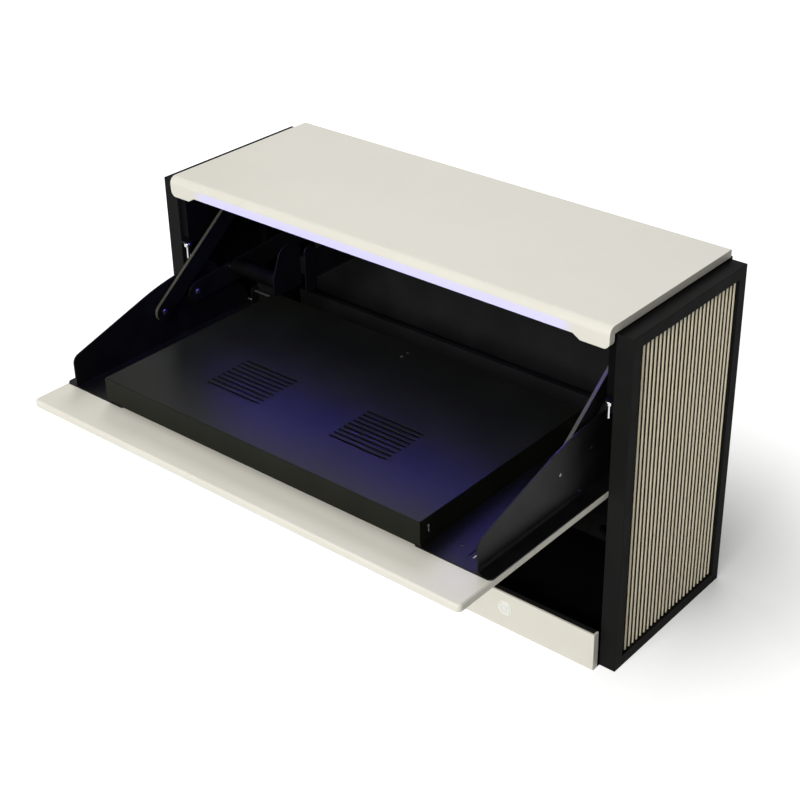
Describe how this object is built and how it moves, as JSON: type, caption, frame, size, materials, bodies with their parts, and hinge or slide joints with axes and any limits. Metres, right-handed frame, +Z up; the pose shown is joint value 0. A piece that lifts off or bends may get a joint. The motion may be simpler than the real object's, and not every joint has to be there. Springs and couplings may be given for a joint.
{
  "type": "tv lift cabinet",
  "caption": "Low media cabinet whose front flap folds down on paired links to hold an equipment tray level under a lit top.",
  "frame": {"origin": "on the floor under the middle of the side frames' footprint", "axes": "+Z up, the flap and base panel face -Y, +X is to the right when looking from behind the flap's front toward the back"},
  "size_m": [1.213, 0.8491, 0.7698],
  "materials": {
    "frame_black": "satin black lacquer",
    "slat_backing": "matt dark olive",
    "slat": "matt light beige",
    "white_lacquer": "satin warm white lacquer",
    "light_strip": "lit violet-white diffuser",
    "seal": "matt black",
    "inner_black": "matt black laminate",
    "chrome": "polished",
    "button_white": "satin white",
    "button_ring": "satin white",
    "link_black": "satin black powder coat",
    "pin_steel": "turned steel",
    "bracket_black": "satin black powder coat",
    "box_black": "black anodised",
    "screw": "plain",
    "motor_black": "matt black"
  },
  "bodies": {
    "cabinet": {"back_panel": "inner_black", "base_panel": "white_lacquer", "base_seal": "seal", "bottom_board": "inner_black", "button_housing": "button_ring", "drive_motor": "motor_black", "front_ground_pins": "pin_steel", "led_strip": "light_strip", "motor_bracket": "bracket_black", "motor_ring": "chrome", "rail_bottom_left": "frame_black", "rail_bottom_right": "frame_black", "rail_top_left": "frame_black", "rail_top_right": "frame_black", "rear_ground_bosses": "pin_steel", "service_panel": "inner_black", "side_board_left": "inner_black", "side_board_right": "inner_black", "slat_backing_left": "slat_backing", "slat_backing_right": "slat_backing", "slats_left": "slat", "slats_right": "slat", "stile_front_left": "frame_black", "stile_front_right": "frame_black", "stile_rear_left": "frame_black", "stile_rear_right": "frame_black", "stop_brackets": "bracket_black", "stop_studs": "chrome", "top_panel": "white_lacquer"},
    "front_link_left": {"front_link_left": "link_black"},
    "front_link_right": {"front_link_right": "link_black"},
    "rear_link_left": {"rear_link_left": "link_black", "rear_link_rivet_left": "pin_steel"},
    "rear_link_right": {"rear_link_right": "link_black", "rear_link_rivet_right": "pin_steel"},
    "tray": {"flap_panel": "white_lacquer", "tray_bracket_left": "bracket_black", "tray_bracket_right": "bracket_black", "front_tray_pins": "pin_steel", "rear_tray_pins": "pin_steel", "box_cover": "box_black", "box_base": "box_black", "box_screws": "screw", "box_side_catch": "screw", "latch_bracket": "bracket_black", "latch_pin": "chrome"},
    "button": {"push_button": "button_white"}
  },
  "joints": [
    {"name": "front_link_left_fold", "type": "hinge", "parent": "cabinet", "child": "front_link_left", "pos_m": [-0.523, -0.07813, 0.67005], "axis": [1, 0, 0], "range_deg": [-0.02, 43.76]},
    {"name": "front_link_right_fold", "type": "hinge", "parent": "cabinet", "child": "front_link_right", "pos_m": [0.523, -0.07813, 0.67005], "axis": [1, 0, 0], "range_deg": [-0.02, 43.76]},
    {"name": "tray_fold", "type": "hinge", "parent": "front_link_left", "child": "tray", "pos_m": [-0.523, -0.309, 0.493], "axis": [1, 0, 0], "range_deg": [-133.74, 0]},
    {"name": "rear_link_left_fold", "type": "hinge", "parent": "tray", "child": "rear_link_left", "pos_m": [-0.523, -0.21, 0.504], "axis": [1, 0, 0], "range_deg": [-0.1, 130.29]},
    {"name": "rear_link_right_fold", "type": "hinge", "parent": "tray", "child": "rear_link_right", "pos_m": [0.523, -0.21, 0.504], "axis": [1, 0, 0], "range_deg": [-0.1, 130.29]},
    {"name": "button_press", "type": "slide", "parent": "cabinet", "child": "button", "axis": [0, 1, 0], "range_m": [0, 0.002], "stiffness_N_per_m": 600}
  ],
  "couplings": [
    {"joint": "front_link_left_fold", "follows": "tray_fold", "ratio": -0.32707},
    {"joint": "front_link_right_fold", "follows": "tray_fold", "ratio": -0.32707},
    {"joint": "rear_link_left_fold", "follows": "tray_fold", "ratio": -0.97346},
    {"joint": "rear_link_right_fold", "follows": "tray_fold", "ratio": -0.97346}
  ]
}
